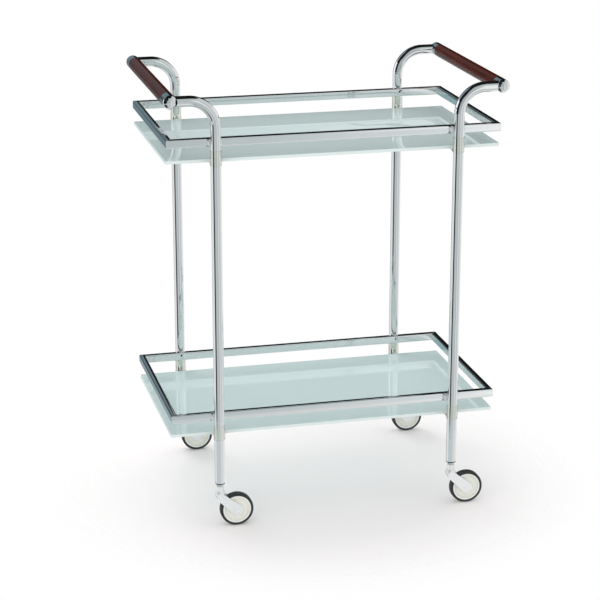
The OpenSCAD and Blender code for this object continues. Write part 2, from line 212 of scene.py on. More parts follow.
def crowned(left, right, low, high, radius, crown):
    """Outline of a rounded rectangle whose sides bulge by crown, out to its bounds."""
    points = oblong(left + crown, right - crown, low + crown, high - crown, radius)
    count = len(points) // 4
    outline = []
    for i, out in enumerate(((0, -1), (1, 0), (0, 1), (-1, 0))):
        side = points[i * count:(i + 1) * count]
        outline += side
        start, end = Vector(side[-1]), Vector(points[(i + 1) * count % len(points)])
        for step in range(1, CROWN_STEPS):
            share = step / CROWN_STEPS
            bulge = Vector(out) * crown * 4 * share * (1 - share)
            outline.append(tuple(start.lerp(end, share) + bulge))
    return outline


def arc(centre, radius, start, sweep, steps):
    """Points along an arc, from the angle start over a sweep."""
    x, y = centre
    turns = [start + sweep * step / steps for step in range(steps + 1)]
    return [(x + radius * math.cos(t), y + radius * math.sin(t)) for t in turns]


def mirrored(half):
    """An outline of (radius, height, rounding) whose lower half mirrors the given upper one."""
    return [(r, -h, rounding) for r, h, rounding in reversed(half)] + half


def circle(radius, count=ROUND, z=0.0):
    """Points of a circle about the Z axis."""
    turns = [math.tau * i / count for i in range(count)]
    return [(radius * math.cos(t), radius * math.sin(t), z) for t in turns]


def hexagon(apothem, z, count=ROUND, fall=0.0):
    """Points of a hexagon, at as many angles as a circle has. Its corners are bent down by
    the slope fall."""
    sixth = math.tau / 6
    points = []
    for i, (x, y, _) in enumerate(circle(1, count)):
        turn = math.tau * i / count
        r = apothem / math.cos((turn + sixth / 2) % sixth - sixth / 2)
        points.append((r * x, r * y, z - (r - apothem) * fall))
    return points


def skin(mesh, rings, closed=False, capped=False, place=Matrix()):
    """Faces between neighbouring rings of points. A ring of one point is a pole."""
    rows = [[mesh.verts.new(place @ Vector(point)) for point in ring] for ring in rings]
    pairs = list(zip(rows, rows[1:]))
    if closed:
        pairs.append((rows[-1], rows[0]))
    for one, other in pairs:
        count = max(len(one), len(other))
        for i in range(count):
            j = (i + 1) % count
            four = (one[i % len(one)], one[j % len(one)],
                    other[j % len(other)], other[i % len(other)])
            mesh.faces.new(list(dict.fromkeys(four)))
    if capped:
        mesh.faces.new(rows[0])
        mesh.faces.new(rows[-1])
    return mesh


def lathe(mesh, outline, place, closed=False, count=ROUND):
    """Turns an outline of (radius, height) points round the Z axis of its place."""
    rings = [circle(r, count, h) if r > WELD else [(0, 0, h)] for r, h in outline]
    return skin(mesh, rings, closed, place=place)


def drum(mesh, radius, low, high, place, count=ROUND):
    """A plain cylinder between two heights."""
    return lathe(mesh, [(0, low), (radius, low), (radius, high), (0, high)], place, count=count)


def slab(mesh, outline, low, high, place):
    """A plate between two heights, with the outline given as (x, y) points."""
    rings = [[(x, y, z) for x, y in outline] for z in (low, high)]
    return skin(mesh, rings, capped=True, place=place)


def cut(mesh, *others, operation="DIFFERENCE"):
    """The first solid with the others taken out of it or, as a union, added to it."""
    def holder(solid):
        bmesh.ops.recalc_face_normals(solid, faces=solid.faces)
        data = bpy.data.meshes.new("solid")
        solid.to_mesh(data)
        solid.free()
        thing = bpy.data.objects.new("solid", data)
        bpy.context.scene.collection.objects.link(thing)
        return thing

    blank = holder(mesh)
    tools = [holder(other) for other in others]
    for tool in tools:
        step = blank.modifiers.new("cut", "BOOLEAN")
        step.operation = operation
        step.solver = "EXACT"
        step.object = tool
    graph = bpy.context.evaluated_depsgraph_get()
    data = bpy.data.meshes.new_from_object(blank.evaluated_get(graph))
    result = bmesh.new()
    result.from_mesh(data)
    bmesh.ops.remove_doubles(result, verts=result.verts, dist=WELD)
    for thing in (blank, *tools):
        old = thing.data
        bpy.data.objects.remove(thing)
        bpy.data.meshes.remove(old)
    bpy.data.meshes.remove(data)
    return result


def add_piece(name, mesh, finishes, body, slot, *nodes, bevel=0):
    """Makes a piece of a mesh, puts it on its body and lets it stand for its nodes."""
    bmesh.ops.recalc_face_normals(mesh, faces=mesh.faces)
    for face in mesh.faces:
        face.smooth = True
    for edge in mesh.edges:
        edge.smooth = edge.is_manifold and edge.calc_face_angle() < CRISP
    data = bpy.data.meshes.new(name)
    mesh.to_mesh(data)
    mesh.free()
    for material in finishes:
        data.materials.append(material)
    piece = bpy.data.objects.new(name, data)
    bpy.context.scene.collection.objects.link(piece)
    if bevel:
        rounding = piece.modifiers.new("rounding", "BEVEL")
        rounding.width = bevel
        rounding.segments = 3
        rounding.limit_method = "ANGLE"
        rounding.angle_limit = CRISP
        rounding.harden_normals = True
    normals = piece.modifiers.new("normals", "WEIGHTED_NORMAL")
    normals.keep_sharp = True
    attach(piece, body)
    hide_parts(*nodes)


def middle(node):
    """Middle of a node's box."""
    low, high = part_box(node)
    return (low + high) / 2


def spread(node):
    """Size of a node's box along each axis."""
    low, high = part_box(node)
    return high - low


def leg_radius(corner):
    """Outer radius of a leg tube."""
    return spread(f"leg_{corner}").y / 2


def leg_axis(corner):
    """A point on the upright axis of a leg, at its lower end."""
    low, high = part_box(f"leg_{corner}")
    radius = leg_radius(corner)
    x = high.x - radius if "left" in corner else low.x + radius
    return Vector((x, (low.y + high.y) / 2, low.z))


def facing(corner):
    """Turn about Z that brings what is made for a rear corner to this one."""
    return 0.0 if "rear" in corner else math.pi


def at(place, turn=0.0, axis="X"):
    """The matrix of a place, with what stands there turned about an axis."""
    return Matrix.Translation(place) @ Matrix.Rotation(turn, 4, axis)


# ---- materials ----


def add_node(tree, kind, inputs=(), **options):
    """Adds a node with its options. Its inputs, by name or in their order, take constants,
    outputs or nodes, of which they take the first output."""
    node = tree.nodes.new("ShaderNode" + kind)
    for option, value in options.items():
        setattr(node, option, value)
    used = [socket for socket in node.inputs if socket.enabled]
    for key, value in inputs.items() if isinstance(inputs, dict) else enumerate(inputs):
        socket = used[key] if isinstance(key, int) else node.inputs[key]
        if isinstance(value, bpy.types.Node):
            value = next(output for output in value.outputs if output.enabled)
        if isinstance(value, bpy.types.NodeSocket):
            tree.links.new(value, socket)
        else:
            socket.default_value = (*value, 1) if socket.type == "RGBA" else value
    return node


def as_material(build):
    """Makes a function that builds a shader give its material, which it builds once."""
    @functools.wraps(build)
    def made(*kinds):
        name = "_".join(("cart", *kinds, build.__name__))
        if name not in bpy.data.materials:
            material = bpy.data.materials.new(name)
            material.use_nodes = True
            tree = material.node_tree
            tree.nodes.clear()
            shader = build(tree, bpy.context.scene.cart_colours, *kinds)
            add_node(tree, "OutputMaterial", {"Surface": shader})
        return bpy.data.materials[name]
    return made


def pattern(tree, size, stretch=(1, 1, 1), detail=3, roughness=0.55):
    """Noise whose features are about size millimetres long, before stretch lengthens them
    on an axis."""
    place = add_node(tree, "TexCoord").outputs["Object"]
    scaled = add_node(tree, "Mapping",
                      {"Vector": place, "Scale": [1 / (size * MM * s) for s in stretch]})
    return add_node(tree, "TexNoise", {"Vector": scaled, "Scale": 1.0, "Detail": detail,
                                       "Roughness": roughness})


def surface(tree, settings, colours, gloss=None, relief=None):
    """A shader whose colour lies between two as a pattern gives: (pattern, colour, colour).
    Its roughness and its relief can each follow a pattern too: (pattern, lowest, highest)
    and (pattern, depth in millimetres, strength)."""
    inputs = {**settings, "Base Color": add_node(tree, "Mix", colours, data_type="RGBA")}
    if gloss:
        source, low, high = gloss
        inputs["Roughness"] = add_node(tree, "MapRange", (source, *NOISE_SPAN, low, high))
    if relief:
        source, depth, strength = relief
        inputs["Normal"] = add_node(tree, "Bump", {"Height": source, "Strength": strength,
                                                   "Distance": depth * MM})
    return add_node(tree, "BsdfPrincipled", inputs)


def shaded(tint, share):
    """A colour times a share."""
    return [channel * share for channel in tint]


@as_material
def chrome_plate(tree, colours):
    """Bright chromium plate on polished steel tube: a mirror, with the faint waves and haze
    that polishing and wiping leave."""
    tint = colours.chrome
    return surface(tree, {"Metallic": 1.0}, (pattern(tree, 30), shaded(tint, 0.96), tint),
                   (pattern(tree, 9), 0.02, 0.045),
                   (pattern(tree, 14, detail=1), 0.02, 1.0))


@as_material
def zinc_plate(tree, colours, bright=None):
    """Zinc on pressed or turned steel: duller than chrome, with a grain that is drawn coarser
    than it is, so that it shows. Bright zinc has a clear passivated layer, which makes it
    paler and less of a mirror."""
    tint, low, high, metallic = colours.zinc, 0.25, 0.42, 1.0
    if bright:
        tint, low, high, metallic = colours.fork, 0.24, 0.3, 0.4
    grain = pattern(tree, 1.2, detail=4)
    return surface(tree, {"Metallic": metallic}, (grain, shaded(tint, 0.95), tint),
                   (grain, low, high), (grain, 0.004, 1.0))


@as_material
def stained_beech(tree, colours):
    """Turned beech under a red-brown stain and a satin lacquer. The grain runs along the grip;
    its short dark rays are 2 to 3 mm long and its growth bands a few millimetres wide."""
    bands = pattern(tree, 5, (1, 16, 1), detail=4, roughness=0.6)
    rays = pattern(tree, 0.7, (1, 5, 1), detail=2)
    growth = add_node(tree, "MapRange", (bands, *NOISE_SPAN, 0, 1))
    body = add_node(tree, "Mix", (growth, shaded(colours.wood, 0.55), colours.wood),
                    data_type="RGBA")
    flecks = add_node(tree, "MapRange", (rays, 0.55, 0.75, 0, 0.7))
    return surface(tree, {"IOR": 1.45, "Specular IOR Level": 0.3},
                   (flecks, body, colours.pores), (bands, 0.18, 0.28), (rays, 0.04, 0.5))


@as_material
def etched_glass(tree, colours):
    """Toughened float glass, polished above and etched below: a clear reflection, stronger
    where one looks along the glass, over a pale body of scattered light."""
    tint, ior, polish = colours.glass, 1.5, 0.035
    body = add_node(tree, "Mix", (pattern(tree, 90, detail=2), shaded(tint, 0.97), tint),
                    data_type="RGBA")
    milk = add_node(tree, "BsdfPrincipled", {"Base Color": body, "IOR": ior,
                                             "Roughness": polish, "Specular IOR Level": 0.0})
    through = add_node(tree, "BsdfTranslucent", {"Color": body})
    inside = add_node(tree, "MixShader", (0.12, milk, through))
    mirror = add_node(tree, "BsdfGlossy", {"Color": (1, 1, 1), "Roughness": polish})
    slant = add_node(tree, "Fresnel", {"IOR": ior})
    share = add_node(tree, "MapRange", (slant, 0, 1, 0, 0.9))
    return add_node(tree, "MixShader", (share, inside, mirror))


@as_material
def glass_edge(tree, colours):
    """The ground and polished edge of the same glass, brighter and greener than its face,
    with faint grinding marks along it."""
    lines = pattern(tree, 1.5, (8, 8, 1), detail=2)
    return surface(tree, {"IOR": 1.5, "Roughness": 0.3},
                   (lines, shaded(colours.glass_edge, 0.9), colours.glass_edge))


@as_material
def clear_plastic(tree, colours):
    """Moulded clear plastic: a clear wall that turns faintly brown where one looks along it."""
    slant = add_node(tree, "LayerWeight", {"Blend": 0.5}).outputs["Facing"]
    depth = add_node(tree, "MapRange", (slant, 0.7, 1.0), interpolation_type="SMOOTHSTEP")
    tone = add_node(tree, "Mix", (depth, colours.collar, colours.collar_rim), data_type="RGBA")
    wall = add_node(tree, "BsdfTransparent", {"Color": tone})
    haze = add_node(tree, "MapRange", (pattern(tree, 4), *NOISE_SPAN, 0.06, 0.14))
    shine = add_node(tree, "BsdfGlossy", {"Roughness": haze})
    glint = add_node(tree, "Fresnel", {"IOR": 1.35})
    share = add_node(tree, "MapRange", (glint, 0, 1, 0, 0.35))
    return add_node(tree, "MixShader", (share, wall, shine))


# how rough each moulded plastic is
PLASTICS = {
    "plug": 0.45,  # black polyethylene, dull
    "bush": 0.35,  # white acetal, waxy
    "hub": 0.33,  # cream polypropylene, satin
    # rim: the same plastic, glossier where polished; its whiter tint is painted light, for light
    # on the rim against the shade of the recessed web
    "rim": 0.2,  # the same at the polished rim, whiter and glossier
}


@as_material
def plastic(tree, colours, part):
    """Moulded plastic with the slight ripple and uneven gloss of the tool."""
    tint, roughness = getattr(colours, part), PLASTICS[part]
    ripple = pattern(tree, 3)
    return surface(tree, {"IOR": 1.49}, (ripple, shaded(tint, 0.95), tint),
                   (ripple, roughness * 0.85, roughness * 1.15), (ripple, 0.02, 0.5))


@as_material
def tyre_rubber(tree, colours):
    """Black rubber with a trace of dust and the grain of the mould, drawn coarse enough to
    show."""
    grain = pattern(tree, 0.6, detail=2)
    dust = add_node(tree, "MapRange", (pattern(tree, 11), 0.45, 0.8, 0, 0.12))
    return surface(tree, {"IOR": 1.5}, (dust, colours.tyre, colours.dust),
                   (grain, 0.42, 0.58), (grain, 0.03, 0.4))


# ---- the pieces ----


class CartLegs(bpy.types.Operator):
    """Add the four bent leg tubes"""

    bl_idname = "cart.add_legs"
    bl_label = "Legs"

    def execute(self, context):
        sizes = context.scene.cart_sizes
        bend, bend_steps, foot_edge = sizes.bend_radius, 28, 0.3 * MM
        for corner in CORNERS:
            end = -1 if "left" in corner else 1
            foot, radius = leg_axis(corner), leg_radius(corner)
            ferrule = middle(f"handle_ferrule_{corner}")
            seat = spread(f"handle_ferrule_{corner}").x / 2 - HAIR
            stations = [(foot, 0.0), (foot + Vector((0, 0, foot_edge)), 0.0)]
            for step in range(bend_steps + 1):
                turn = math.pi / 2 * step / bend_steps
                stations.append((Vector((foot.x + end * bend * (1 - math.cos(turn)), foot.y,
                                         ferrule.z - bend + bend * math.sin(turn))), turn))

            def ring(station, r):
                centre, turn = station
                across = Vector((end * math.cos(turn), 0, -math.sin(turn)))
                return [centre + across * x + Vector((0, y, 0)) for x, y, _ in circle(r)]

            def coped_ring(r):
                return [(ferrule.x - end * math.sqrt(seat ** 2 - x ** 2), foot.y + y,
                         ferrule.z - x) for x, y, _ in circle(r)]

            bore = radius - sizes.tube_wall
            outer = [ring(stations[0], radius - foot_edge)]
            outer += [ring(station, radius) for station in stations[1:]]
            inner = [ring(station, bore) for station in reversed(stations)]
            mesh = skin(bmesh.new(), outer + [coped_ring(radius), coped_ring(bore)] + inner,
                        closed=True)
            add_piece(f"tube_{corner}", mesh, [chrome_plate()], "frame", "chrome",
                      f"leg_{corner}")
        return {"FINISHED"}


class CartHandles(bpy.types.Operator):
    """Add the chromed ferrules and the wooden grips"""

    bl_idname = "cart.add_handles"
    bl_label = "Handles"

    def execute(self, context):
        sizes = context.scene.cart_sizes
        crown, rim = sizes.ferrule_crown, sizes.ferrule_rim
        wall, closed_end, lip = mm(1.5, 9, 0.35)
        # how far inside the rim the dome ends, and where its slope goes on from there
        dome_margin, onward = mm(3.5, 0.01)
        shoulder_edge, tenon_edge = mm(0.6, 1)
        for corner in CORNERS:
            node = f"handle_ferrule_{corner}"
            face = -1 if "front" in corner else 1
            radius, half = spread(node).x / 2, spread(node).y / 2
            bore, flat = radius - wall, radius - dome_margin
            dome = (flat ** 2 + crown ** 2) / (2 * crown)
            slope = math.asin(flat / dome)
            outline = arc((0, half - dome), dome, math.pi / 2, -slope, steps=12)
            outline += rounded((flat + onward, half - crown, 0),
                               (radius, half - crown - dome_margin * math.tan(slope), rim),
                               (radius, -half, lip), (bore, -half, lip),
                               (bore, half - closed_end, 0), (0, half - closed_end, 0))
            mesh = lathe(bmesh.new(), outline, at(middle(node), -face * math.pi / 2))
            add_piece(f"ferrule_{corner}", mesh, [chrome_plate()], "frame", "chrome", node)
        for side in ("left", "right"):
            node = f"handle_grip_{side}"
            radius, tenon = spread(node).x / 2, spread(node).y / 2
            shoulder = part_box(f"handle_ferrule_rear_{side}")[0].y
            slim = radius - wall - HAIR
            outline = rounded(*mirrored([(radius, shoulder, shoulder_edge), (slim, shoulder, 0),
                                         (slim, tenon, tenon_edge), (0, tenon, 0)]))
            mesh = lathe(bmesh.new(), outline, at(middle(node), -math.pi / 2))
            add_piece(f"grip_{side}", mesh, [stained_beech()], "frame", "stained_wood", node)
        return {"FINISHED"}


class CartGalleries(bpy.types.Operator):
    """Add the mitred gallery tubes"""

    bl_idname = "cart.add_galleries"
    bl_label = "Galleries"

    def execute(self, context):
        sizes = context.scene.cart_sizes
        seam = sizes.seam
        for shelf in SHELVES:
            low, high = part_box(f"{shelf}_rail_front")
            width, height = high.y - low.y, high.z - low.z

            def section(inset):
                return crowned(inset, width - inset, inset - height, -inset,
                               sizes.rail_edge - inset, sizes.rail_crown)

            outer, shrunk, inner = section(0), section(seam), section(sizes.rail_wall)
            # end of the tube, section there and how far it stands back from the mitre
            stations = ((1, shrunk, 0), (1, outer, seam), (-1, outer, seam),
                        (-1, shrunk, 0), (-1, inner, 0), (1, inner, 0))
            for side, quarter in SIDES.items():
                node = f"{shelf}_rail_{side}"
                low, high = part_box(node)
                half = (high - low)[quarter % 2] / 2
                outer_face = (-low.y, high.x, high.y, -low.x)[quarter]
                place = (Matrix.Rotation(quarter * math.pi / 2, 4, "Z")
                         @ Matrix.Translation((0, -outer_face, high.z)))
                rings = [[(end * (half - u - back), u, v) for u, v in points]
                         for end, points, back in stations]
                mesh = skin(bmesh.new(), rings, closed=True, place=place)
                add_piece(f"gallery_{shelf}_{side}", mesh, [chrome_plate()], "frame", "chrome",
                          node)
        return {"FINISHED"}


class CartShelves(bpy.types.Operator):
    """Add the two glass shelves"""

    bl_idname = "cart.add_shelves"
    bl_label = "Glass shelves"

    def execute(self, context):
        sizes = context.scene.cart_sizes
        arris = sizes.glass_arris
        for shelf in SHELVES:
            node = f"{shelf}_glass_shelf"
            low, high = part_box(node)

            def ring(inset, z):
                x, y = high.x - inset, high.y - inset
                return [(u, v, z) for u, v in oblong(-x, x, -y, y, sizes.glass_corner - inset)]

            steps = [(arris + x, arris + y) for x, y in
                     arc((0, 0), arris, -math.pi / 2, -math.pi / 2, steps=3)]
            rings = [ring(inset, low.z + rise) for inset, rise in steps]
            rings += [ring(inset, high.z - rise) for inset, rise in reversed(steps)]
            mesh = skin(bmesh.new(), rings, capped=True)
            # the upper and lower face are one polygon each, and the edge is made of quads
            for face in mesh.faces:
                face.material_index = 0 if len(face.verts) > 4 else 1
            add_piece(f"shelf_glass_{shelf}", mesh, [etched_glass(), glass_edge()], "frame",
                      "frosted_glass", node)
        return {"FINISHED"}


class CartCollars(bpy.types.Operator):
    """Add the clear collars that hold the glass and the pins that carry them"""

    bl_idname = "cart.add_collars"
    bl_label = "Shelf collars and pins"

    def execute(self, context):
        lip = context.scene.cart_sizes.collar_lip
        ledge_width, ledge_thickness, ledge_reach, ledge_edge = mm(16, 1.8, 12, 2)
        stop_width, stop_edge, play = mm(8, 1, 0.3)
        pin_radius, pin_inside = mm(3, 3)
        pins = bmesh.new()
        for shelf in SHELVES:
            _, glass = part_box(f"{shelf}_glass_shelf")
            for corner in CORNERS:
                node = f"{shelf}_shelf_collar_{corner}"
                low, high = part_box(node)
                axis, bore = leg_axis(corner), leg_radius(corner) + HAIR
                outer = max(high.y, -low.y) - abs(axis.y)
                ledge_end = glass.y - ledge_reach - abs(axis.y)
                stop_end = glass.y + play - abs(axis.y)
                place = at((axis.x, axis.y, 0), facing(corner), "Z")

                def tongue(width, end, edge, top):
                    outline = rounded((width / 2, -bore, 0), (-width / 2, -bore, 0),
                                      (-width / 2, end, edge), (width / 2, end, edge))
                    return slab(bmesh.new(), outline, low.z, top, place)

                sleeve = lathe(bmesh.new(), rounded((bore, low.z, 0), (outer, low.z, lip),
                                                    (outer, high.z, lip), (bore, high.z, 0)),
                               place, closed=True)
                ledge = tongue(ledge_width, ledge_end, ledge_edge, low.z + ledge_thickness)
                stop = tongue(stop_width, stop_end, stop_edge, glass.z)
                mesh = cut(sleeve, ledge, stop, operation="UNION")
                add_piece(f"collar_{shelf}_{corner}", mesh, [clear_plastic()], "frame",
                          "clear_plastic", node)
                start = leg_radius(corner) - pin_inside
                tip = arc((0, -ledge_end - pin_radius), pin_radius, 0, math.pi / 2, steps=8)
                lathe(pins, [(0, start), (pin_radius, start), *tip],
                      place @ at((0, 0, low.z - pin_radius), math.pi / 2), count=SMALL_ROUND)
        add_piece("pins", pins, [zinc_plate()], "frame", "plain_steel", "shelf_pins")
        return {"FINISHED"}


class CartRailFixings(bpy.types.Operator):
    """Add the saddles and the socket screws that fasten the galleries to the legs"""

    bl_idname = "cart.add_rail_fixings"
    bl_label = "Rail fixings"

    def execute(self, context):
        saddle_half, saddle_rise, saddle_edge, saddle_wrap, bevel = mm(13, 4.5, 3, 4, 0.4)
        screw_radius, screw_reach, head_radius, head_height = mm(2.5, 10, 5.5, 3)
        socket_apothem, socket_rim, socket_depth, socket_tip = mm(1.5, 2.1, 1.8, 0.4)
        dome = (head_radius ** 2 + head_height ** 2) / (2 * head_height)
        foot_turn, rim_turn = math.acos(head_radius / dome), math.acos(socket_rim / dome)
        head = arc((0, head_height - dome), dome, foot_turn, rim_turn - foot_turn, steps=8)
        rim_height = head[-1][1]
        floor_height = rim_height - socket_depth
        saddles, legs, holes, screws = bmesh.new(), bmesh.new(), bmesh.new(), bmesh.new()
        for shelf in SHELVES:
            low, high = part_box(f"{shelf}_rail_rear")
            z = (low.z + high.z) / 2
            shank = high.y - low.y + screw_reach
            rings = [[(0, 0, -shank)]]
            rings += [circle(r, SMALL_ROUND, h)
                      for r, h in ((screw_radius, -shank), (screw_radius, 0), *head)]
            rings += [hexagon(socket_apothem, h, SMALL_ROUND) for h in (rim_height, floor_height)]
            rings.append([(0, 0, floor_height - socket_tip)])
            for corner in CORNERS:
                axis, radius = leg_axis(corner), leg_radius(corner)
                place = at((axis.x, 0, z), facing(corner), "Z") @ at((0, 0, 0), math.pi / 2)
                slab(saddles, oblong(-saddle_half, saddle_half, -saddle_rise, saddle_rise,
                                     saddle_edge),
                     radius - saddle_wrap - abs(axis.y), -high.y, place)
                drum(holes, screw_radius + HAIR, -abs(axis.y), -low.y, place, SMALL_ROUND)
                drum(legs, radius + HAIR, z - 2 * saddle_rise, z + 2 * saddle_rise,
                     at((axis.x, axis.y, 0)))
                skin(screws, rings, place=place @ at((0, 0, -low.y)))
        add_piece("saddles", cut(saddles, legs, holes), [zinc_plate("bright")], "frame",
                  "chrome", "rail_spacers", bevel=bevel)
        add_piece("socket_screws", screws, [chrome_plate()], "frame", "chrome", "rail_screws")
        # the rivet nuts show as they are
        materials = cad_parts["rivet_nuts"].data.materials
        materials.clear()
        materials.append(zinc_plate())
        return {"FINISHED"}


class CartCasterMounts(bpy.types.Operator):
    """Add the leg plugs, the nuts, the stems and the bushes that the casters turn on"""

    bl_idname = "cart.add_caster_mounts"
    bl_label = "Caster mounts"

    def execute(self, context):
        stem_radius, stem_edge = mm(4, 0.5)
        head_height, head_edge, head_rim = mm(2, 0.6, 0.2)
        plug_flange, plug_step, plug_inset = mm(2, 0.3, 1.25)
        plug_edge, plug_tip = mm(0.4, 1)
        bush_play, bush_wall, bush_flange = mm(0.05, 1.2, 1)
        bush_edge, bush_lip = mm(0.35, 0.2)
        chamfer = math.tan(math.radians(30))
        plugs, nuts = bmesh.new(), bmesh.new()
        for corner in CORNERS:
            axis, leg = leg_axis(corner), leg_radius(corner)
            place = at((axis.x, axis.y, 0))
            bore = stem_radius + HAIR
            low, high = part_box("leg_plugs")
            outer, inner, flange = leg - plug_step, leg - plug_inset, low.z + plug_flange
            lathe(plugs, rounded((bore, low.z, 0), (outer, low.z, plug_edge),
                                 (outer, flange, 0), (inner, flange, 0),
                                 (inner, high.z, plug_tip), (bore, high.z, 0)),
                  place, closed=True)

            low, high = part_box("stem_nuts")
            apothem = (high.y - low.y) / 2 - abs(axis.y)
            skin(nuts, [circle(bore, z=low.z), circle(apothem, z=low.z),
                        hexagon(apothem, low.z, fall=-chamfer),
                        hexagon(apothem, high.z, fall=chamfer),
                        circle(apothem, z=high.z), circle(bore, z=high.z)],
                 closed=True, place=place)

            low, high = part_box(f"caster_stem_{corner}")
            head, shoulder = (high.x - low.x) / 2, low.z + head_height
            stem = lathe(bmesh.new(), rounded((0, low.z, 0), (head, low.z, head_edge),
                                              (head, shoulder, head_rim),
                                              (stem_radius, shoulder, 0),
                                              (stem_radius, high.z, stem_edge), (0, high.z, 0)),
                         place)
            add_piece(f"stem_{corner}", stem, [zinc_plate()], "frame", "plain_steel",
                      f"caster_stem_{corner}")

            low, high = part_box(f"swivel_bush_{corner}")
            bore, sleeve = stem_radius + bush_play, stem_radius + bush_wall
            rim, flange = (high.x - low.x) / 2, high.z - bush_flange
            bush = lathe(bmesh.new(), rounded((bore, low.z, 0), (sleeve, low.z, 0),
                                              (sleeve, flange, 0), (rim, flange, 0),
                                              (rim, high.z, bush_edge), (bore, high.z, bush_lip)),
                         place, closed=True)
            add_piece(f"bush_{corner}", bush, [plastic("bush")], f"caster_{corner}",
                      "bush_plastic", f"swivel_bush_{corner}")
        add_piece("plugs", plugs, [plastic("plug")], "frame", "black_plastic", "leg_plugs")
        add_piece("nuts", nuts, [chrome_plate()], "frame", "chrome", "stem_nuts")
        return {"FINISHED"}


class CartForks(bpy.types.Operator):
    """Add the pressed forks of the casters"""

    bl_idname = "cart.add_forks"
    bl_label = "Forks"

    def execute(self, context):
        yoke_radius, yoke_drop, end_radius = mm(8, 4.5, 11)
        tread_gap, side_gap, arm = mm(1.5, 1, 2.5)
        bowl_radius, bowl_rise, bowl_rim, bowl_edge = mm(10, 3, 0.4, 0.3)
        neck_radius, neck_slope, neck_fillet = mm(7, 3, 2)
        bush_radius, pocket_radius, pocket_roof, past = mm(5.2, 6.1, 1.5, 1)
        for corner in CORNERS:
            node = f"caster_fork_{corner}"
            _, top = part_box(node)
            swivel = middle(f"swivel_bush_{corner}")
            axle = middle(f"wheel_axle_{corner}")
            tyre = spread(f"wheel_tyre_{corner}")
            crest, gap, trail = axle.z + tyre.z / 2, tyre.y / 2 + side_gap, axle.x - swivel.x
            yoke_z, bowl_z = crest - yoke_drop, crest + bowl_rise
            place = at((swivel.x, swivel.y, 0))

            # the strap wraps the yoke's round and the axle's, with straight flanks between
            span = Vector((trail, axle.z - yoke_z))
            lean = math.acos((yoke_radius - end_radius) / span.length)
            along = math.atan2(span.y, span.x)
            outline = []
            for centre, r, start, sweep in (
                    ((0, yoke_z), yoke_radius, along + lean, math.tau - 2 * lean),
                    ((trail, axle.z), end_radius, along - lean, 2 * lean)):
                outline += arc(centre, r, start, sweep, math.ceil(sweep / ARC_STEP * 2))
            strap = slab(bmesh.new(), outline, -gap - arm, gap + arm,
                         at((swivel.x, swivel.y, 0), math.pi / 2))

            bowl = arc((0, bowl_z), bowl_radius, -math.pi / 2, math.pi / 2, steps=12)
            bowl += rounded((bowl_radius, bowl_z + bowl_rim, bowl_edge),
                            (neck_radius, bowl_z + neck_slope, neck_fillet),
                            (neck_radius, top.z, 0), (0, top.z, 0))
            body = cut(strap, lathe(bmesh.new(), bowl, place), operation="UNION")
            roof = yoke_z + pocket_roof
            wheel = drum(bmesh.new(), crest - axle.z + tread_gap, -gap, gap,
                         at(axle, math.pi / 2))
            pocket = drum(bmesh.new(), pocket_radius, axle.z, roof, place)
            bore = drum(bmesh.new(), bush_radius, roof - past, top.z + past, place)
            add_piece(f"fork_{corner}", cut(body, wheel, pocket, bore), [zinc_plate("bright")],
                      f"caster_{corner}", "chrome", node,
                      bevel=context.scene.cart_sizes.fork_bevel)
        return {"FINISHED"}


class CartWheels(bpy.types.Operator):
    """Add the axles, the hubs and the tyres"""

    bl_idname = "cart.add_wheels"
    bl_label = "Wheels"

    def execute(self, context):
        sizes = context.scene.cart_sizes
        axle_radius, axle_play, head_share = 4 * MM, 0.05 * MM, 0.9
        boss_radius, rim_half, web_half, web_rise = mm(8.5, 6.8, 5, 1)
        rim_width, channel, ring_width = mm(3, 1.2, 1.6)
        soft, tight = mm(0.6, 0.35)
        groove_place, groove_width, groove_depth = mm(3.2, 1.2, 0.8)
        groove_edge, bead_edge = mm(0.2, 0.3)
        for corner in CORNERS:
            centre = middle(f"wheel_tyre_{corner}")
            tyre, hub, axle, fork = (spread(f"{kind}_{corner}") for kind in
                                     ("wheel_tyre", "wheel_hub", "wheel_axle", "caster_fork"))
            place = at(centre, math.pi / 2)
            radius, half = tyre.z / 2, tyre.y / 2
            seat = radius - sizes.tyre_height

            head, head_half, fork_half = axle.z / 2, axle.y / 2, fork.y / 2
            pin = [(axle_radius, fork_half, 0), (head, fork_half, 0),
                   (head, head_half, (head_half - fork_half) * head_share), (0, head_half, 0)]
            add_piece(f"axle_{corner}", lathe(bmesh.new(), rounded(*mirrored(pin)), place),
                      [zinc_plate("bright")], f"caster_{corner}", "plain_steel",
                      f"wheel_axle_{corner}")

            rim = seat - rim_width
            ring_outer = rim - channel
            ring_inner = ring_outer - ring_width
            web = [(axle_radius + axle_play, hub.y / 2, 0), (boss_radius, hub.y / 2, tight),
                   (boss_radius, web_half + web_rise, soft), (ring_inner, web_half, soft),
                   (ring_inner, rim_half, tight), (ring_outer, rim_half, tight),
                   (ring_outer, web_half, tight), (rim, web_half, tight),
                   (rim, rim_half, tight), (seat, rim_half, tight)]
            wheel = lathe(bmesh.new(), rounded(*mirrored(web)), place, closed=True)
            # faces outside the web take the rim's finish: the same plastic painted whiter, as
            # painted light on the rim against the recess's shade
            for face in wheel.faces:
                offset = face.calc_center_median() - centre
                if math.hypot(offset.x, offset.z) > rim:
                    face.material_index = 1
            add_piece(f"hub_{corner}", wheel, [plastic("hub"), plastic("rim")],
                      f"wheel_{corner}", "cream_plastic", f"wheel_hub_{corner}")

            near, far = groove_place - groove_width / 2, groove_place + groove_width / 2
            tread = [(radius, near, groove_edge), (radius - groove_depth, near, groove_edge),
                     (radius - groove_depth, far, groove_edge), (radius, far, groove_edge),
                     (radius, half, sizes.tyre_shoulder), (seat + HAIR, half, bead_edge)]
            band = lathe(bmesh.new(), rounded(*mirrored(tread)), place, closed=True)
            add_piece(f"tyre_{corner}", band, [tyre_rubber()], f"wheel_{corner}",
                      "tyre_rubber", f"wheel_tyre_{corner}")
        return {"FINISHED"}


# ---- the studio ----


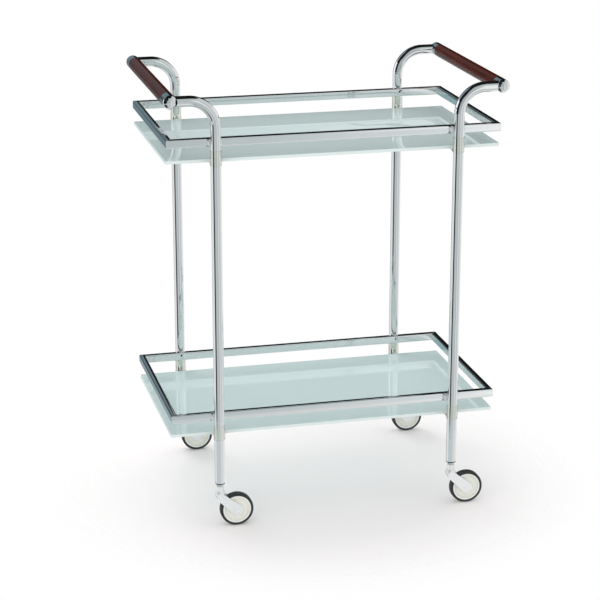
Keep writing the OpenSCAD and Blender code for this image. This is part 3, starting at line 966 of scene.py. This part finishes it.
def studio_world():
    """Plain white light. What shines also sees the studio, bearing by bearing: a floor with a
    pale strip and a darker flank, walls with dark gaps to the front left and the back, and a
    ceiling that is grey in front, dark above the back and black at the zenith."""
    world = bpy.data.worlds.new("studio")
    world.use_nodes = True
    tree = world.node_tree
    tree.nodes.clear()
    ray = add_node(tree, "TexCoord").outputs["Generated"]
    parts = add_node(tree, "SeparateXYZ", (ray,)).outputs
    height = parts["Z"]
    bearing = add_node(tree, "Math", (parts["Y"], parts["X"]), operation="ARCTAN2")
    around = add_node(tree, "MapRange", (bearing, -math.pi, math.pi, 0, 1))

    def wall(*stops):
        """Tones round the studio, eased between stops: (degrees from +X, level or colour)."""
        node = add_node(tree, "ValToRGB", (around,))
        node.color_ramp.interpolation = "EASE"
        band = node.color_ramp.elements
        while len(band) < len(stops):
            band.new(1.0)
        for element, (degrees, level) in zip(band, stops):
            element.position = (degrees + 180) / 360
            element.color = (*(level if isinstance(level, tuple) else (level,) * 3), 1)
        return node

    def over(value, start, end, one, other):
        """One colour below start and the other above end."""
        share = add_node(tree, "MapRange", (value, start, end), interpolation_type="SMOOTHSTEP")
        return add_node(tree, "Mix", (share, one, other), data_type="RGBA")

    slate, grey, mist = (0.24, 0.27, 0.31), (0.39, 0.42, 0.43), (0.49, 0.54, 0.55)
    pale, dusk, steel = (0.50, 0.56, 0.59), (0.13, 0.18, 0.205), (0.30, 0.34, 0.38)
    teal, ink, black = (0.24, 0.36, 0.38), (0.03, 0.045, 0.05), (0.008, 0.008, 0.008)

    def floor_seen(flank):
        return wall((-180, 0.85), (-173, 0.85), (-168, black), (-146, black), (-139, grey),
                    (-110, mist), (-84, grey), (-77, mist), (-74, (0.6, 0.63, 0.64)),
                    (-71.3, (0.62, 0.68, 0.7)), (-70, 0.88), (-66, 0.85), (-62, mist),
                    (-50, mist), (-35, 0.58), (-5, 0.72), (30, 0.85), (70, 0.75), (79, 0.6),
                    (90, flank), (102, flank), (106, teal), (116, teal), (126, 0.75),
                    (158, 0.7))

    # heights are sines of the angle above the horizon
    low = over(height, -0.3, -0.26, floor_seen((0.24, 0.29, 0.31)), floor_seen(dusk))
    level = wall((-180, black), (-136, black), (-129, slate), (-118, grey), (-84, grey),
                 (-77, mist), (-72, 0.80), (-69, 0.85), (-63, mist), (-45, mist), (-20, 0.7),
                 (20, 0.8), (48, 0.6), (58, black), (80.2, black), (80.9, dusk), (102, dusk),
                 (106, ink), (116, ink), (126, 0.7), (155, 1.0), (172, 1.0))
    above = wall((-180, black), (-120, black), (-108, grey), (-50, mist), (-20, 0.6),
                 (30, 0.6), (42, black), (80, black), (84, ink), (116, ink), (126, slate),
                 (160, slate), (170, black))
    rear = over(height, 0.375, 0.4, level, above)
    fore = over(height, 0.38, 0.45, level, above)
    walls = over(parts["Y"], -0.1, 0.1, fore, rear)
    upper = over(height, 0.82, 0.88, walls, black)
    strip = wall((-180, 0.62), (-174, pale), (-81, pale), (-76, 0.62), (-69, 0.78), (-61, 0.6),
                 (-54, 0.62), (-28, 0.69), (-4, 0.74), (70, 0.77), (88, steel), (112, steel),
                 (124, 0.6), (150, 0.73), (170, 0.73))
    deep = over(height, -0.52, -0.46, low, strip)
    ground = over(height, -0.368, -0.348, deep, low)
    seen = over(height, -0.19, -0.15, ground, upper)

    white = (1, 1, 1)
    reflected = add_node(tree, "Background", {"Color": seen, "Strength": 1.28})
    soft = add_node(tree, "Background", {"Color": white, "Strength": 0.89})
    backdrop = add_node(tree, "Background", {"Color": white, "Strength": 1.0})
    path = add_node(tree, "LightPath").outputs
    lit = add_node(tree, "MixShader", (path["Is Glossy Ray"], soft, reflected))
    shown = add_node(tree, "MixShader", (path["Is Camera Ray"], lit, backdrop))
    add_node(tree, "OutputWorld", {"Surface": shown})
    return world


@as_material
def floor_paper(tree, colours):
    """White paper sweep, which fades into the white backdrop away from the cart."""
    tint = colours.floor
    place = add_node(tree, "TexCoord").outputs["Object"]
    far = add_node(tree, "VectorMath", (place,), operation="LENGTH")
    fade = add_node(tree, "MapRange", (far, 0.28, 0.6, 0.05), interpolation_type="SMOOTHSTEP")
    tone = add_node(tree, "Mix", (pattern(tree, 2), shaded(tint, 0.99), tint),
                    data_type="RGBA")
    paper = add_node(tree, "BsdfDiffuse", {"Color": tone})
    return add_node(tree, "MixShader", (fade, paper, add_node(tree, "BsdfTransparent")))


def add_softbox(name, place, aim, size, power):
    """A square lamp that shines at a point and stays out of reflections."""
    data = bpy.data.lights.new(name, "AREA")
    data.shape = "SQUARE"
    data.size = size
    data.energy = power
    lamp = bpy.data.objects.new(name, data)
    bpy.context.scene.collection.objects.link(lamp)
    lamp.location = place
    lamp.rotation_euler = (Vector(aim) - Vector(place)).to_track_quat("-Z", "Y").to_euler()
    lamp.visible_glossy = lamp.visible_camera = False


class CartStage(bpy.types.Operator):
    """Add the floor, the studio light and the camera"""

    bl_idname = "cart.set_stage"
    bl_label = "Stage"

    def execute(self, context):
        view = context.scene.cart_view
        low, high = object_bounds()
        floor_radius, floor_rings = 1.4, 8
        paper = bmesh.new()
        skin(paper, [[(0, 0, 0)]] + [circle(floor_radius * i / floor_rings)
                                     for i in range(1, floor_rings + 1)])
        data = bpy.data.meshes.new("floor")
        paper.to_mesh(data)
        paper.free()
        data.materials.append(floor_paper())
        floor = bpy.data.objects.new("floor", data)
        context.scene.collection.objects.link(floor)
        floor.location.z = low.z
        floor.visible_glossy = False
        floor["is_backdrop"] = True

        aim = (0, 0, high.z / 2)
        add_softbox("overhead", (0.2, 0.3, 2.8), aim, 2.2, 5)
        add_softbox("front_left", (-2.2, -2.4, 1.9), aim, 1.6, 10)
        add_softbox("low_front", (-0.8, -2.4, 0.8), (0, 0, 0.2), 1.2, 5)
        add_softbox("low_back", (-0.4, 1.3, 0.68), (0, 0, 0.3), 0.9, 9)

        camera = bpy.data.objects.new("camera", bpy.data.cameras.new("camera"))
        camera.data.lens = view.lens
        camera.data.sensor_width = FILM_WIDTH
        camera.location = view.place
        camera.rotation_euler = (math.pi / 2 - view.pitch, 0, -view.yaw)
        context.scene.collection.objects.link(camera)
        context.scene.camera = camera
        context.scene.world = studio_world()
        context.scene.view_settings.view_transform = "Standard"
        return {"FINISHED"}


class CartPanel(bpy.types.Panel):
    """Sizes, colours and steps of the bar cart"""

    bl_idname = "VIEW3D_PT_bar_cart"
    bl_label = "Bar Cart"
    bl_space_type = "VIEW_3D"
    bl_region_type = "UI"
    bl_category = "Bar Cart"

    def draw(self, context):
        for group in (context.scene.cart_sizes, context.scene.cart_colours,
                      context.scene.cart_view):
            box = self.layout.box()
            for key in group.__annotations__:
                box.prop(group, key)
        for step in STEPS:
            self.layout.operator(step.bl_idname)


GROUPS = {"cart_sizes": CartSizes, "cart_colours": CartColours, "cart_view": CartView}
STEPS = (CartLegs, CartHandles, CartGalleries, CartShelves, CartCollars, CartRailFixings,
         CartCasterMounts, CartForks, CartWheels, CartStage)


def register():
    for kind in (*GROUPS.values(), *STEPS, CartPanel):
        bpy.utils.register_class(kind)
    for name, group in GROUPS.items():
        setattr(bpy.types.Scene, name, PointerProperty(type=group))


def unregister():
    for name in GROUPS:
        delattr(bpy.types.Scene, name)
    for kind in reversed((*GROUPS.values(), *STEPS, CartPanel)):
        bpy.utils.unregister_class(kind)


def main():
    """Dresses the frame."""
    register()
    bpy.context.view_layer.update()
    bpy.ops.cart.add_legs()
    bpy.ops.cart.add_handles()
    bpy.ops.cart.add_galleries()
    bpy.ops.cart.add_shelves()
    bpy.ops.cart.add_collars()
    bpy.ops.cart.add_rail_fixings()
    bpy.ops.cart.add_caster_mounts()
    bpy.ops.cart.add_forks()
    bpy.ops.cart.add_wheels()
    bpy.ops.cart.set_stage()


if __name__ == "__main__":
    main()
